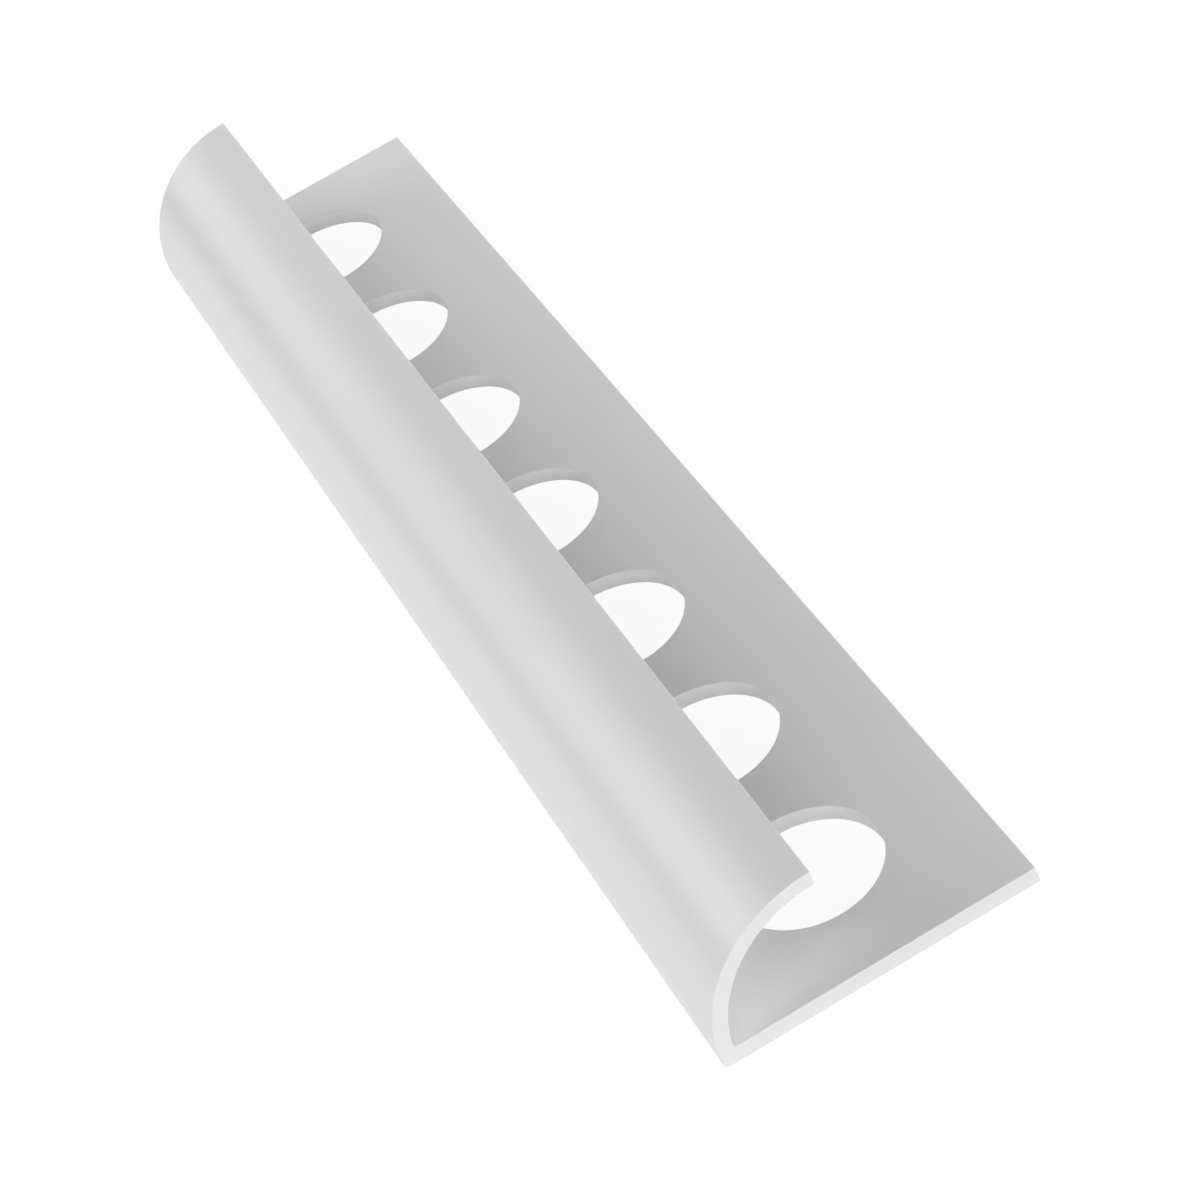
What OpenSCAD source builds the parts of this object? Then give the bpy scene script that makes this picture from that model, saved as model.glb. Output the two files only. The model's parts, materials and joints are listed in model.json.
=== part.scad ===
// Quadrant tile edge trim: one cut length of extruded rigid PVC.
// A flat perforated leg is bedded in the tile adhesive. A quarter-round face
// rises from its outer edge and turns over into a lip that meets the tile.
//
// Frame: X across the section, from the round face to the leg's free edge.
// Y runs along the trim and Z is up. The origin is on the underside, at the
// centre of the leg's width and of the trim's length.

/* [Length] */
// Length of the trim between its sawn ends
trim_len = 110; // [40:0.5:600]

/* [Section] */
// Overall height, from the underside of the leg to the top of the lip
trim_h = 10; // [8:0.5:20]
// Width of the leg, from the outside of the face to the free edge
leg_w = 21.5; // [20:0.5:40]
// Thickness of the leg
leg_t = 1.15; // [0.8:0.05:2]
// Wall of the quarter-round face
face_t = 1; // [0.8:0.05:2]
// Short straight upright below the quarter round
heel_h = 0.75; // [0.3:0.05:2]

/* [Edges] */
// Rounding of the outer corner under the face
heel_r = 0.25; // [0.1:0.05:0.3]
// Rounding of the leg's free edge and of the lip's outer edge
edge_r = 0.06; // [0.05:0.01:0.2]
// Fillet in the corner between the leg and the face
root_r = 0.05; // [0.05:0.05:0.4]

/* [Anchor holes] */
// Diameter of the punched holes that the adhesive keys into
hole_d = 10; // [4:0.1:12]
// Distance between hole centres along the trim
hole_pitch = 15; // [13:0.5:40]
// Distance from the outside of the face to the hole centres
hole_inset = 10.8; // [10:0.1:13]
// Least web left between a sawn end and the nearest hole
end_web = 2; // [1:0.5:10]

/* [Hidden] */
$fn = 96;
// Overshoot that takes each cutter clear through what it cuts
clear_cut = 0.5;
// As many holes as the length holds, centred along it
hole_span = trim_len - 2 * end_web - hole_d;
hole_count = floor(hole_span / hole_pitch) + 1;
// Outer and inner radius of the quarter round, and its centre in the section
face_r = trim_h - heel_h;
hollow_r = face_r - face_t;
arc_centre = [face_r, heel_h];

// What rounding a corner takes away: the corner is at the origin and the
// material lies towards +X and +Y.
module corner_waste(r) {
    difference() {
        translate([-clear_cut, -clear_cut])
            square(r + clear_cut);
        translate([r, r])
            circle(r);
    }
}

// Quarter-round face on its short upright, from the floor to the lip
module face_profile() {
    intersection() {
        translate(arc_centre)
            difference() {
                circle(face_r);
                circle(hollow_r);
            }
        translate([0, heel_h])
            square(face_r);
    }
    square([face_t, heel_h]);
}

// Flat leg, from inside the face's wall to its own free edge
module leg_profile() {
    translate([face_t / 2, 0])
        square([leg_w - face_t / 2, leg_t]);
}

// Fillet between the top of the leg and the inside of the face. It meets the
// face at the height where its own arc stands upright.
module root_fillet() {
    rise = max(0, leg_t + root_r - heel_h);
    wall_x = face_r - sqrt(hollow_r * hollow_r - rise * rise);
    difference() {
        translate([face_t / 2, leg_t / 2])
            square([wall_x + root_r - face_t / 2, leg_t / 2 + root_r]);
        translate([wall_x + root_r, leg_t + root_r])
            circle(root_r);
    }
}

// The whole section, with X towards the leg's free edge and Y up
module trim_profile() {
    difference() {
        union() {
            leg_profile();
            face_profile();
            root_fillet();
        }
        corner_waste(heel_r);
        translate([leg_w, 0])
            mirror([1, 0])
                corner_waste(edge_r);
        for (top_edge = [[leg_w, leg_t], [face_r, trim_h]])
            translate(top_edge)
                rotate(180)
                    corner_waste(edge_r);
    }
}

// Row of round holes punched through the leg, centred along the trim
module anchor_holes() {
    for (i = [0 : hole_count - 1])
        translate([hole_inset, (i - (hole_count - 1) / 2) * hole_pitch, -clear_cut])
            cylinder(d = hole_d, h = leg_t + 2 * clear_cut);
}

module edge_trim() {
    color("whitesmoke")
        translate([-leg_w / 2, 0, 0])
            difference() {
                rotate([90, 0, 0])
                    linear_extrude(height = trim_len, center = true)
                        trim_profile();
                anchor_holes();
            }
}

edge_trim();
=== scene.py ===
# %% [markdown]
# # A quadrant tile edge trim
# This lesson dresses one short length of plastic tile trim. The real one is squeezed through a steel die,
# so its section is the same all the way along. Then a row of round holes is punched in its flat leg, and a
# saw cuts it to length. We follow the same order: first the section, then its run along the trim, then the
# holes, then the sawn ends, and last the finish, the studio and the camera.
# The construction model comes first, because everything else is placed in its frame.

# %% Load the construction model
import json
import math

import bmesh
import bpy
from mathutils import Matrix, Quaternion, Vector


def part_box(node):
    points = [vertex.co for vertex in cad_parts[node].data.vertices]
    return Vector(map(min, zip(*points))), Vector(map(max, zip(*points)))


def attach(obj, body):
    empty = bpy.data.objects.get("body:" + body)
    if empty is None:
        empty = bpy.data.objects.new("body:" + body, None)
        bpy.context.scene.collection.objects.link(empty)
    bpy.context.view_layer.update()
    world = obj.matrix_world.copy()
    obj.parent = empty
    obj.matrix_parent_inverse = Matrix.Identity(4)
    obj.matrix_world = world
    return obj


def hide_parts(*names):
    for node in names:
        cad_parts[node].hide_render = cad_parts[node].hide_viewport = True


MM = 0.001  # metres

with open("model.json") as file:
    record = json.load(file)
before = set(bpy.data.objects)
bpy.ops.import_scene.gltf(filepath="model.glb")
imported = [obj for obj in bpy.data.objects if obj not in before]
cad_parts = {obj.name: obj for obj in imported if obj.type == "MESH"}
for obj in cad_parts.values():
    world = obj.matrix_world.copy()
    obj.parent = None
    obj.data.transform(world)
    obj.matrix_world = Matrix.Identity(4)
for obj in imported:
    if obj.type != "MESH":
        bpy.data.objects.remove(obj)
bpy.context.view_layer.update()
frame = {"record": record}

# %% [markdown]
# ## Sizes
# The big sizes are read from the frame, so that the dressed trim can't drift away from the solid: the box
# gives the leg's width, the length and the height, and the anchor holes give their own radius, their
# places and the leg's thickness. The small sizes of the section have no line in the record, so they are
# named here. We work in millimetres and turn to metres only when a vertex is made.

# %% Sizes of the trim, in millimetres
trim_low, trim_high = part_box("edge_trim")
leg_w, trim_len, trim_h = ((high - low) / MM for low, high in zip(trim_low, trim_high))

anchor_holes = [mount for mount in frame["record"]["mounts"] if mount["kind"] == "bore"]
hole_r = anchor_holes[0]["dims"]["r_mm"]
leg_t = anchor_holes[0]["dims"]["length_mm"]
hole_x = anchor_holes[0]["pos_m"][0] / MM + leg_w / 2
hole_ys = sorted(mount["pos_m"][1] / MM for mount in anchor_holes)
hole_pitch = hole_ys[1] - hole_ys[0]

face_t = 1.0        # wall of the quarter-round face
heel_h = 0.75       # straight upright below the quarter round
heel_r = 0.25       # rounding under the face
root_r = 0.05       # fillet between leg and face
edge_r = 0.06       # rounding of the leg's free edge and of the lip's top
lip_r = 0.06        # rounding under the lip
saw_r = 0.03        # softened arris round a sawn end
roll_r = 0.05       # rolled-over rim where the punch went in
burr_r = 0.03       # rim where the punch came out
hold = 0.025        # narrow strip beside each rounded edge

face_r = trim_h - heel_h
hollow_r = face_r - face_t
arc_centre = (face_r, heel_h)
print(f"{len(hole_ys)} holes of radius {hole_r} mm at a pitch of {hole_pitch:.2f} mm")

# %% [markdown]
# ## The section
# A die is drawn as lines and arcs that flow into each other, so we draw it the same way. Each point also
# keeps the direction that faces the open air, which we need later to round the sawn ends.
# A spline through hand-placed points would wobble, and a plain bevel modifier can't tell a die's radius
# from a saw's arris. Two chains of equal length do better: one down the outside, from the lip round the
# face to the underside, and one down the inside, from the lip through the hollow to the top of the leg.
# Point for point they face each other across the wall, so the sawn end can later be filled with neat
# four-sided faces. Smooth shading would let a small rounding darken or brighten the flat beside it. A
# narrow strip that is still flat, next to each rounding, holds that change within a hair's breadth.

# %% Arcs of the section
LIP_STEPS, FACE_STEPS, HEEL_STEPS, EDGE_STEPS = 4, 64, 8, 4
ROOT_STEPS = HEEL_STEPS + 2     # as many points as the heel and the end of its upright have


def bend(centre, radius, start, stop, steps, hollow=False, held=False):
    """Points of an arc, each with its outward direction. On a hollow bend that is towards the centre."""
    side = -1 if hollow else 1
    shares = [i / steps for i in range(steps + 1)]
    if held:
        strip = hold / (radius * math.radians(abs(stop - start)))
        shares = [0, strip, *shares[1:-1], 1 - strip, 1]
    points = []
    for share in shares:
        angle = math.radians(start + (stop - start) * share)
        across, up = math.cos(angle), math.sin(angle)
        points.append((centre[0] + radius * across, centre[1] + radius * up, side * across, side * up))
    return points


def seat_in_arc(reach, offset):
    """Centre and bearing of a small round, 'reach' from the face's centre and 'offset' to its left."""
    bearing = 90 + math.degrees(math.asin(offset / reach))
    return (face_r - offset, heel_h + math.sqrt(reach**2 - offset**2)), bearing


lip_top, lip_top_bearing = seat_in_arc(face_r - edge_r, edge_r)
lip_under, lip_under_bearing = seat_in_arc(hollow_r + lip_r, lip_r)
root_rise = leg_t + root_r - heel_h
root_run = math.sqrt((hollow_r - root_r) ** 2 - root_rise**2)
root_centre = (face_r - root_run, leg_t + root_r)
root_bearing = 180 - math.degrees(math.asin(root_rise / (hollow_r - root_r)))
print(f"the hollow's arc turns from {lip_under_bearing:.1f} to {root_bearing:.1f} degrees")

# %% The two chains, from the lip to the free edge of the leg
punched_half = 8.2  # half the width of the strip of leg that holds the holes
strip_xs = (hole_x - punched_half, hole_x + punched_half)

outside = [(face_r, lip_top[1] - hold, 1.0, 0.0)]
inside = [(face_r, lip_under[1] + hold, 1.0, 0.0)]
outside += bend(lip_top, edge_r, 0, lip_top_bearing, LIP_STEPS)
inside += bend(lip_under, lip_r, 0, lip_under_bearing - 180, LIP_STEPS)
outside += bend(arc_centre, face_r, lip_top_bearing, 180, FACE_STEPS, held=True)[1:]
inside += bend(arc_centre, hollow_r, lip_under_bearing, root_bearing, FACE_STEPS,
               hollow=True, held=True)[1:]
outside += [(0.0, heel_r + hold, -1.0, 0.0)]
outside += bend((heel_r, heel_r), heel_r, 180, 270, HEEL_STEPS)
inside += bend(root_centre, root_r, root_bearing, 270, ROOT_STEPS, hollow=True)[1:]

strip_index = len(outside) + 1
free_start = leg_w - edge_r
outside += [(x, 0.0, 0.0, -1.0) for x in (heel_r + hold, *strip_xs, free_start - hold)]
inside += [(x, leg_t, 0.0, 1.0) for x in (root_centre[0] + hold, *strip_xs, free_start - hold)]
outside += bend((free_start, edge_r), edge_r, 270, 360, EDGE_STEPS)
inside += bend((free_start, leg_t - edge_r), edge_r, 90, 0, EDGE_STEPS)
outside.append((leg_w, edge_r + hold, 1.0, 0.0))
inside.append((leg_w, leg_t - edge_r - hold, 1.0, 0.0))
assert len(outside) == len(inside)
print(f"each chain has {len(outside)} points")

# %% [markdown]
# ## Holes without a boolean
# A boolean cut leaves long thin faces that shade badly, and its rim can't be rounded cleanly. A punched
# strip is only a row of like cells, so we draw one cell: an oblong with a round hole, joined by a
# fan of four-sided faces. The fan's spokes are evenly spread in angle, and where they meet the cell's long
# sides they set the stations at which the rest of the section is repeated, so that all faces meet.

# %% One cell of the punched strip
SIDE_STEPS = 24
FAR_SIDE, NEAR_SIDE = 1, 3  # of a cell's four sides, counted round from the right one
LEAST_SLOPE = 1e-9          # keeps a spoke that runs straight along or across from dividing by nothing


def cell_border(before, after):
    """Points round a cell, seen from its hole: 'before' and 'after' are its reach along the trim."""
    turn_on = math.degrees(math.atan2(after, punched_half))
    turn_back = math.degrees(math.atan2(before, punched_half))
    sides = ((-turn_back, turn_on), (turn_on, 180 - turn_on), (180 - turn_on, 180 + turn_back),
             (180 + turn_back, 360 - turn_back))
    border = []
    for start, stop in sides:
        for i in range(SIDE_STEPS):
            angle = math.radians(start + (stop - start) * i / SIDE_STEPS)
            across, along = math.cos(angle), math.sin(angle)
            reach_along = after if along > 0 else before
            reach = min(punched_half / max(abs(across), LEAST_SLOPE),
                        reach_along / max(abs(along), LEAST_SLOPE))
            border.append((angle, reach * across, reach * along))
    return border


end_y = trim_len / 2 - saw_r
last_y = end_y - hold
cells = []
for y in hole_ys:
    before = y + last_y if y == hole_ys[0] else hole_pitch / 2
    after = last_y - y if y == hole_ys[-1] else hole_pitch / 2
    cells.append((y, cell_border(before, after)))

stations = []
for y, border in cells:
    stations += [y + border[i][2] for i in range(SIDE_STEPS)]
stations.append(last_y)
print(f"{len(cells)} cells, {len(stations)} stations along the trim")

# %% [markdown]
# ## Building the mesh
# Every face is written down as four corners and a finish: the extruded skin, a sawn end or a punched wall.
# Corners that fall in the same place are merged at the end, which keeps the bookkeeping out of the way.
# The rims of the holes are rolled over a little on the side where the punch went in, and less where it
# came out. The ends get a fine arris, because a perfectly sharp edge never catches the light.

# %% Faces of the skin
SKIN, SAWN, PUNCHED = 0, 1, 2
corners, faces, finishes = [], [], []


def add_face(finish, *points):
    first = len(corners)
    corners.extend(((x - leg_w / 2) * MM, y * MM, z * MM) for x, y, z in points)
    faces.append(range(first, first + len(points)))
    finishes.append(finish)


def run_along(start, stop):
    """One strip of the section, from one of its points to the next, along all the stations."""
    for y, next_y in zip(stations, stations[1:]):
        add_face(SKIN, (start[0], y, start[1]), (stop[0], y, stop[1]),
                 (stop[0], next_y, stop[1]), (start[0], next_y, start[1]))


for chain in (outside, inside):
    for i in range(len(chain) - 1):
        if i != strip_index:
            run_along(chain[i], chain[i + 1])
run_along(outside[0], inside[0])
run_along(outside[-1], inside[-1])
print(f"{len(faces)} faces of plain skin")

# %% Faces round and in the holes
ROLL_STEPS = 3


def quarter_turn(steps):
    return [math.pi / 2 * i / steps for i in range(steps + 1)]


def on_ring(y, angle, radius, height):
    return (hole_x + radius * math.cos(angle), y + radius * math.sin(angle), height)


roll = quarter_turn(ROLL_STEPS)
rim_path = [(hole_r + roll_r * (1 - math.sin(a)), leg_t - roll_r * (1 - math.cos(a))) for a in roll]
rim_path += [(hole_r, leg_t - roll_r - hold), (hole_r, burr_r + hold)]
rim_path += [(hole_r + burr_r * (1 - math.cos(a)), burr_r * (1 - math.sin(a))) for a in roll]
flat_rims = [(hole_r + roll_r + hold, leg_t), (hole_r + burr_r + hold, 0.0)]

for y, border in cells:
    for (angle, dx, dy), (next_angle, next_dx, next_dy) in zip(border, border[1:] + border[:1]):
        for (radius, height), rim in zip(flat_rims, (rim_path[0], rim_path[-1])):
            add_face(SKIN, (hole_x + dx, y + dy, height), (hole_x + next_dx, y + next_dy, height),
                     on_ring(y, next_angle, radius, height), on_ring(y, angle, radius, height))
            add_face(SKIN, on_ring(y, angle, radius, height), on_ring(y, next_angle, radius, height),
                     on_ring(y, next_angle, *rim), on_ring(y, angle, *rim))
        for upper, lower in zip(rim_path, rim_path[1:]):
            add_face(PUNCHED, on_ring(y, angle, *upper), on_ring(y, next_angle, *upper),
                     on_ring(y, next_angle, *lower), on_ring(y, angle, *lower))
print(f"{len(faces)} faces with the holes")

# %% Faces of the sawn ends
ARRIS_STEPS = 3
arris = [(saw_r * (1 - math.cos(a)), end_y + saw_r * math.sin(a)) for a in quarter_turn(ARRIS_STEPS)]
arris.append((saw_r + hold, end_y + saw_r))


def end_chain(chain, border, outer_side):
    """A chain with the extra points that the last cell has on its outer side."""
    first = SIDE_STEPS * (FAR_SIDE if outer_side > 0 else NEAR_SIDE)
    across = sorted(hole_x + border[first + i][1] for i in range(1, SIDE_STEPS))
    extra = [(x, *chain[strip_index][1:]) for x in across]
    return chain[:strip_index + 1] + extra + chain[strip_index + 1:]


def on_arris(point, inset, y):
    """A point of the section, drawn in and moved outwards as the arris turns into the sawn face."""
    x, z, across, up = point
    return (x - across * inset, y, z - up * inset)


for outer_side, (_, border) in ((-1, cells[0]), (1, cells[-1])):
    out_chain, in_chain = (end_chain(chain, border, outer_side) for chain in (outside, inside))
    loop = out_chain + in_chain[::-1]
    steps = [(inset, outer_side * y) for inset, y in arris]
    for here, there in zip(loop, loop[1:] + loop[:1]):
        strip = ((here, last_y), (there, last_y), (there, end_y), (here, end_y))
        add_face(SKIN, *(on_arris(point, 0, outer_side * y) for point, y in strip))
        for step, next_step in zip(steps, steps[1:]):
            add_face(SAWN, on_arris(here, *step), on_arris(there, *step),
                     on_arris(there, *next_step), on_arris(here, *next_step))
    for i in range(len(out_chain) - 1):
        add_face(SAWN, *(on_arris(point, *steps[-1]) for point in
                         (out_chain[i], out_chain[i + 1], in_chain[i + 1], in_chain[i])))
print(f"{len(faces)} faces in all")

# %% Merge the corners into one closed skin
MERGE_DISTANCE = 0.0005     # millimetres

mesh = bpy.data.meshes.new("edge_trim_skin")
mesh.from_pydata(corners, [], faces)
mesh.polygons.foreach_set("material_index", finishes)
work = bmesh.new()
work.from_mesh(mesh)
bmesh.ops.remove_doubles(work, verts=work.verts, dist=MERGE_DISTANCE * MM)
bmesh.ops.recalc_face_normals(work, faces=work.faces)
open_edges = sum(len(edge.link_faces) != 2 for edge in work.edges)
work.to_mesh(mesh)
print(f"{len(work.verts)} vertices, {len(work.faces)} faces, {open_edges} open edges")
work.free()
mesh.shade_smooth()

trim = bpy.data.objects.new("quadrant_trim", mesh)
bpy.context.scene.collection.objects.link(trim)
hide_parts("edge_trim")
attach(trim, "root")

# %% [markdown]
# ## Shader sums in plain Python
# A finish is a small sum of noises, and a sum is easier to read as a sum than as a web of nodes. The class
# below wraps one socket. Adding or multiplying two of them adds the Math node, and 'add' makes any other
# node: its type, then its settings, then what goes into its sockets.

# %% A socket that can be used in sums
class Wire:
    def __init__(self, tree, socket=None):
        self.tree = tree
        self.socket = socket

    def add(self, kind, settings=None, inputs=None, out=0):
        node = self.tree.nodes.new(kind)
        for name, value in (settings or {}).items():
            setattr(node, name, value)
        for name, value in (inputs or {}).items():
            if isinstance(value, Wire):
                self.tree.links.new(value.socket, node.inputs[name])
            else:
                node.inputs[name].default_value = value
        return Wire(self.tree, node.outputs[out])

    def sum(self, operation, first, second):
        return self.add("ShaderNodeMath", {"operation": operation}, {0: first, 1: second})

    def __add__(self, other):
        return self.sum("ADD", self, other)

    def __radd__(self, other):
        return self.sum("ADD", other, self)

    def __sub__(self, other):
        return self.sum("SUBTRACT", self, other)

    def __rsub__(self, other):
        return self.sum("SUBTRACT", other, self)

    def __mul__(self, other):
        return self.sum("MULTIPLY", self, other)

    def __rmul__(self, other):
        return self.sum("MULTIPLY", other, self)

    def __truediv__(self, other):
        return self.sum("DIVIDE", self, other)

    def __rtruediv__(self, other):
        return self.sum("DIVIDE", other, self)


def plug(wire, shader, socket):
    wire.tree.links.new(wire.socket, shader.inputs[socket])


operations = [name.strip("_").removeprefix("r") for name in vars(Wire) if name.startswith("__r")]
print("sums on sockets:", ", ".join(operations))

# %% What the three finishes share
PVC_IOR = 1.5


def new_finish(name, specular):
    """A material with only its shader, whose constant values are set straight on its sockets."""
    material = bpy.data.materials.new(name)
    material.use_nodes = True
    shader = material.node_tree.nodes["Principled BSDF"]
    shader.inputs["IOR"].default_value = PVC_IOR
    shader.inputs["Specular IOR Level"].default_value = specular
    trim.data.materials.append(material)
    return Wire(material.node_tree), shader


def noise(start, stretch, per_mm, detail):
    """A noise in the trim's own millimetres, stretched along each axis."""
    place = start.add("ShaderNodeTexCoord", out="Object")
    scale = tuple(factor / MM for factor in stretch)
    vector = start.add("ShaderNodeVectorMath", {"operation": "MULTIPLY"}, {0: place, 1: scale})
    inputs = {"Vector": vector, "Scale": per_mm, "Detail": detail}
    return start.add("ShaderNodeTexNoise", None, inputs, "Fac")


def between(start, factor, first, second):
    """A colour that goes from the first to the second as the factor does over the surface."""
    inputs = {"Factor": factor, "A": first, "B": second}
    return start.add("ShaderNodeMix", {"data_type": "RGBA"}, inputs, "Result")


def relief(start, height, depth):
    """A bump that is 'depth' millimetres deep."""
    return start.add("ShaderNodeBump", None, {"Strength": 1.0, "Distance": depth * MM, "Height": height})


print("finishes: all of one plastic, with an index of refraction of", PVC_IOR)

# %% [markdown]
# ## The extruded skin
# Rigid PVC comes out of the die with a satin skin: not quite white, evenly coloured, with faint lines
# drawn along it by the die and a very fine orange peel. The lines are a noise that hardly changes along
# the trim. They move the roughness and a bump of about a thousandth of a millimetre, so they show only in
# the sheen.

# %% Extruded skin
PVC_GREY = (0.80, 0.80, 0.80, 1)
PVC_PALE = (0.83, 0.83, 0.83, 1)
SKIN_SPECULAR = 0.5
SKIN_ROUGHNESS = 0.21
SKIN_DEPTH = 0.0012     # millimetres

start, shader = new_finish("satin_extruded_pvc", SKIN_SPECULAR)
die_lines = noise(start, stretch=(1, 0.006, 1), per_mm=1.6, detail=2)
orange_peel = noise(start, stretch=(1, 1, 1), per_mm=4.5, detail=2)
clouds = noise(start, stretch=(1, 0.4, 1), per_mm=0.16, detail=3)
plug(between(start, clouds, PVC_GREY, PVC_PALE), shader, "Base Color")
plug(SKIN_ROUGHNESS + 0.05 * die_lines + 0.04 * clouds, shader, "Roughness")
plug(relief(start, 0.7 * die_lines + 0.3 * orange_peel, SKIN_DEPTH), shader, "Normal")
print("skin:", len(start.tree.nodes), "nodes")

# %% [markdown]
# ## Sawn ends and punched walls
# A saw tears the plastic instead of smearing it, so the cut is paler and duller than the skin, with fine
# parallel marks. A punch shears it, and leaves short upright streaks on the wall of the hole.

# %% Sawn ends
SAWN_GREY = (0.84, 0.84, 0.84, 1)
SAWN_PALE = (0.88, 0.88, 0.88, 1)
CUT_SPECULAR = 0.4
SAWN_ROUGHNESS = 0.5
SAWN_DEPTH = 0.012      # millimetres

start, shader = new_finish("sawn_pvc", CUT_SPECULAR)
saw_marks = noise(start, stretch=(0.25, 1, 1.6), per_mm=5.0, detail=3)
torn = noise(start, stretch=(1, 1, 1), per_mm=9.0, detail=2)
plug(between(start, torn, SAWN_GREY, SAWN_PALE), shader, "Base Color")
plug(SAWN_ROUGHNESS + 0.2 * torn, shader, "Roughness")
plug(relief(start, 0.7 * saw_marks + 0.3 * torn, SAWN_DEPTH), shader, "Normal")
print("sawn ends:", len(start.tree.nodes), "nodes")

# %% Punched walls
PUNCHED_ROUGHNESS = 0.42
PUNCHED_DEPTH = 0.01    # millimetres

start, shader = new_finish("punched_pvc", CUT_SPECULAR)
shear_lines = noise(start, stretch=(1, 1, 0.12), per_mm=5.5, detail=2)
plug(between(start, shear_lines, PVC_GREY, SAWN_GREY), shader, "Base Color")
plug(PUNCHED_ROUGHNESS + 0.15 * shear_lines, shader, "Roughness")
plug(relief(start, shear_lines, PUNCHED_DEPTH), shader, "Normal")
print("finishes:", [material.name for material in trim.data.materials])

# %% [markdown]
# ## Floor and surroundings
# The trim lies on a white table. A white floor that is only lit would need more light than the trim can
# take, so most of its white is its own glow for the rays that show it, and the rest is plain diffuse white
# that still takes the trim's shadow. The room is white too where it shows. The sheen on the round face
# mirrors both of them, with a soft grey band in between: the mirrored floor fades with its distance from
# the trim, and the mirrored room fades towards the height of the table.

# %% Which rays are at work, and how the mirrored white fades
def rays(start):
    """The rays that show a surface as it is, and those that mirror it."""
    camera_ray = start.add("ShaderNodeLightPath", out="Is Camera Ray")
    clear_ray = start.add("ShaderNodeLightPath", out="Is Transmission Ray")
    shown = start.sum("MINIMUM", camera_ray + clear_ray, 1.0)
    return shown, start.add("ShaderNodeLightPath", out="Is Glossy Ray")


def fade(distance):
    """Near 1 close by, one half at a distance of 1, and near 0 beyond it."""
    squared = distance * distance
    return 1 / (1 + squared * squared)


print("fade at half, one and two:", [round(fade(d), 2) for d in (0.5, 1, 2)])

# %% Floor
FLOOR_HALF = 0.9        # metres
FLOOR_DROP = 0.00002    # metres, just clear of the trim's underside

floor_mesh = bpy.data.meshes.new("table_top")
floor_corners = ((-1, -1), (1, -1), (1, 1), (-1, 1))
floor_mesh.from_pydata([(x * FLOOR_HALF, y * FLOOR_HALF, -FLOOR_DROP) for x, y in floor_corners],
                       [], [(0, 1, 2, 3)])
floor = bpy.data.objects.new("table_top", floor_mesh)
bpy.context.scene.collection.objects.link(floor)
print("floor:", 2 * FLOOR_HALF, "m square")

# %% White of the floor
FLOOR_WHITE = (0.82, 0.82, 0.82, 1)
WHITE = (1, 1, 1, 1)
GLOW_SHARE = 0.82       # of what is seen of the floor
GLOW_STRENGTH = 1.1     # as the camera sees it
MIRROR_SHARE = 0.836    # of the glow, as the sheen mirrors it close to the trim
MIRROR_REACH = 0.14     # metres from the trim at which that has halved

table_white = bpy.data.materials.new("table_white")
table_white.use_nodes = True
table_white.node_tree.nodes.remove(table_white.node_tree.nodes["Principled BSDF"])
start = Wire(table_white.node_tree)
shown, mirrored = rays(start)
place = start.add("ShaderNodeTexCoord", out="Object")
distance = start.add("ShaderNodeVectorMath", {"operation": "LENGTH"}, {0: place}, "Value")
seen_glow = shown + mirrored * (MIRROR_SHARE * fade(distance / MIRROR_REACH))
share = GLOW_SHARE * start.sum("MINIMUM", shown + mirrored, 1.0)
lit = start.add("ShaderNodeBsdfDiffuse", None, {"Color": FLOOR_WHITE})
glow = start.add("ShaderNodeEmission", None, {"Color": WHITE, "Strength": GLOW_STRENGTH})
dimmed = start.add("ShaderNodeMixShader", None, {0: seen_glow, 2: glow})
surface = start.add("ShaderNodeMixShader", None, {0: share, 1: lit, 2: dimmed})
plug(surface, table_white.node_tree.nodes["Material Output"], "Surface")
floor.data.materials.append(table_white)
print("floor's white:", len(table_white.node_tree.nodes), "nodes")

# %% Room
BAND_WIDTH = 0.14       # the sine of the height at which the grey band has half faded

room = bpy.data.worlds.new("studio_room")
room.use_nodes = True
bpy.context.scene.world = room
background = room.node_tree.nodes["Background"]
background.inputs["Color"].default_value = WHITE
start = Wire(room.node_tree)
shown, mirrored = rays(start)
direction = start.add("ShaderNodeTexCoord", out="Generated")
height = start.add("ShaderNodeSeparateXYZ", None, {0: direction}, "Z")
plug(shown + mirrored * (1 - fade(height / BAND_WIDTH)), background, "Strength")
print("room:", len(room.node_tree.nodes), "nodes")

# %% [markdown]
# ## Lights
# The sawn end is the brightest face, then the round face, and the top of the leg is the darkest, with a
# shade that deepens towards the lip. So most of the light stands low, in front, on the left and on the
# right, where it reaches into the hollow. Small boxes draw the shade under the lip. The flat leg mirrors
# what stands opposite the viewer, so most of the boxes behind the trim are large and dim, and the leg
# doesn't go white when it is seen from the front. The strongest box stands square to the trim on its
# right, because the round face hides its mirror image.
# A bearing of 0 degrees is in front of the trim and 90 on its right.

# %% Softboxes
SMALL_BOX = (0.40, 0.28)    # metres
LARGE_BOX = (0.80, 0.56)
SOFTBOX_REACH = 0.85        # metres from the trim


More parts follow.
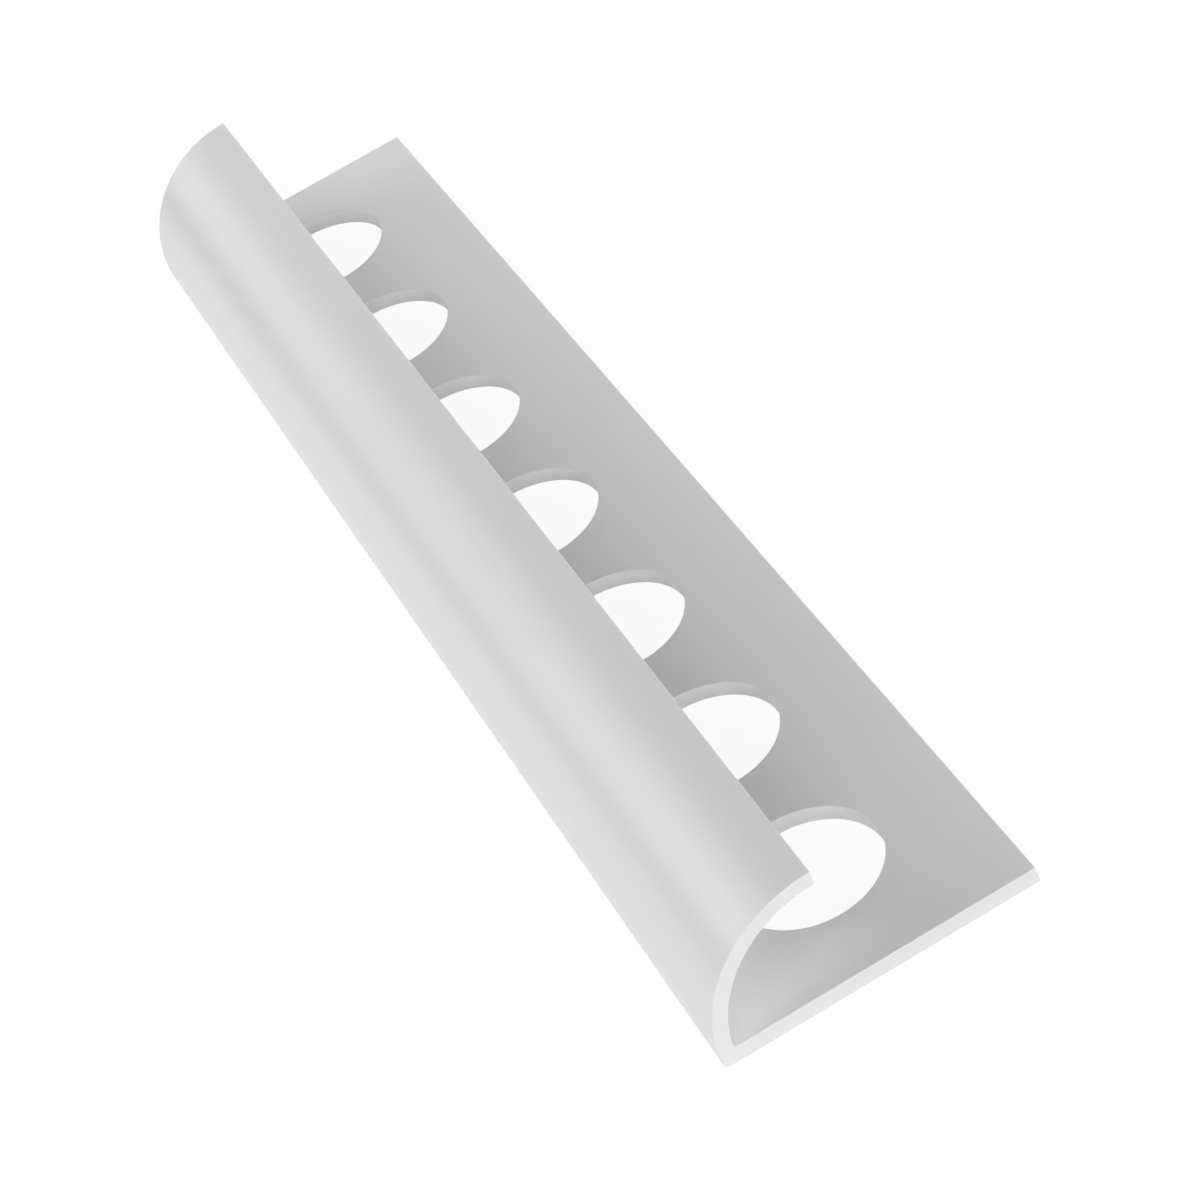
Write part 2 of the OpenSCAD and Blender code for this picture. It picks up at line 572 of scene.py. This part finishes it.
def softbox(name, bearing, height, watts, size=SMALL_BOX):
    """A soft rectangular light, turned to the trim. Its bearing and height are in degrees."""
    turn, rise = math.radians(bearing), math.radians(height)
    away = Vector((math.sin(turn) * math.cos(rise), -math.cos(turn) * math.cos(rise), math.sin(rise)))
    light = bpy.data.lights.new(name, "AREA")
    light.shape = "RECTANGLE"
    light.size, light.size_y = size
    light.energy = watts
    holder = bpy.data.objects.new(name, light)
    holder.location = away * SOFTBOX_REACH
    holder.rotation_mode = "QUATERNION"
    holder.rotation_quaternion = (-away).to_track_quat("-Z", "Y")
    holder.visible_camera = False
    bpy.context.scene.collection.objects.link(holder)
    return holder


lights = [
    softbox("front_low", 15, 8, 2.55),
    softbox("front", 345, 28, 0.64),
    softbox("front_left_wide", 330, 18, 1.20, LARGE_BOX),
    softbox("front_left_high", 330, 52, 1.28),
    softbox("left_low", 270, 8, 0.81),
    softbox("left_rear", 240, 28, 1.30),
    softbox("left_rear_wide", 240, 42, 2.02, LARGE_BOX),
    softbox("rear_left_low", 210, 14, 0.15),
    softbox("rear_wide", 180, 18, 0.90, LARGE_BOX),
    softbox("right_rear_wide", 150, 18, 0.34, LARGE_BOX),
    softbox("right_low", 90, 8, 4.94),
]
total_watts = sum(holder.data.energy for holder in lights)
print(f"lights: {len(lights)} softboxes, {total_watts:.1f} W in all")

# %% [markdown]
# ## Camera
# The camera's place, aim, roll and lens were worked out from the trim's own edges in the photograph, with
# the optical axis at the picture's centre, so no lens shift is needed.

# %% Camera
CAMERA_PLACE = Vector((-26.62, -205.66, 150.88)) * MM
CAMERA_AIM = Vector((-0.44, -17.17, 5.0)) * MM
CAMERA_ROLL = 25.26     # degrees, the camera leaning to its right
CAMERA_LENS = 110.0     # millimetres
CAMERA_FRAME = 36.0     # millimetres across
CAMERA_NEAREST = 0.01   # metres, well short of the trim

camera = bpy.data.objects.new("photo_camera", bpy.data.cameras.new("photo_camera"))
camera.data.lens = CAMERA_LENS
camera.data.sensor_width = CAMERA_FRAME
camera.data.clip_start = CAMERA_NEAREST
camera.location = CAMERA_PLACE
camera.rotation_mode = "QUATERNION"
looking = (CAMERA_AIM - CAMERA_PLACE).to_track_quat("-Z", "Y")
camera.rotation_quaternion = looking @ Quaternion((0, 0, 1), -math.radians(CAMERA_ROLL))
bpy.context.scene.collection.objects.link(camera)
bpy.context.scene.camera = camera
bpy.context.scene.view_settings.view_transform = "Standard"
print("camera up:", [round(v, 3) for v in camera.rotation_quaternion @ Vector((0, 1, 0))])

# %% [markdown]
# ## The size
# The dressed trim has to stay in the construction model's box.
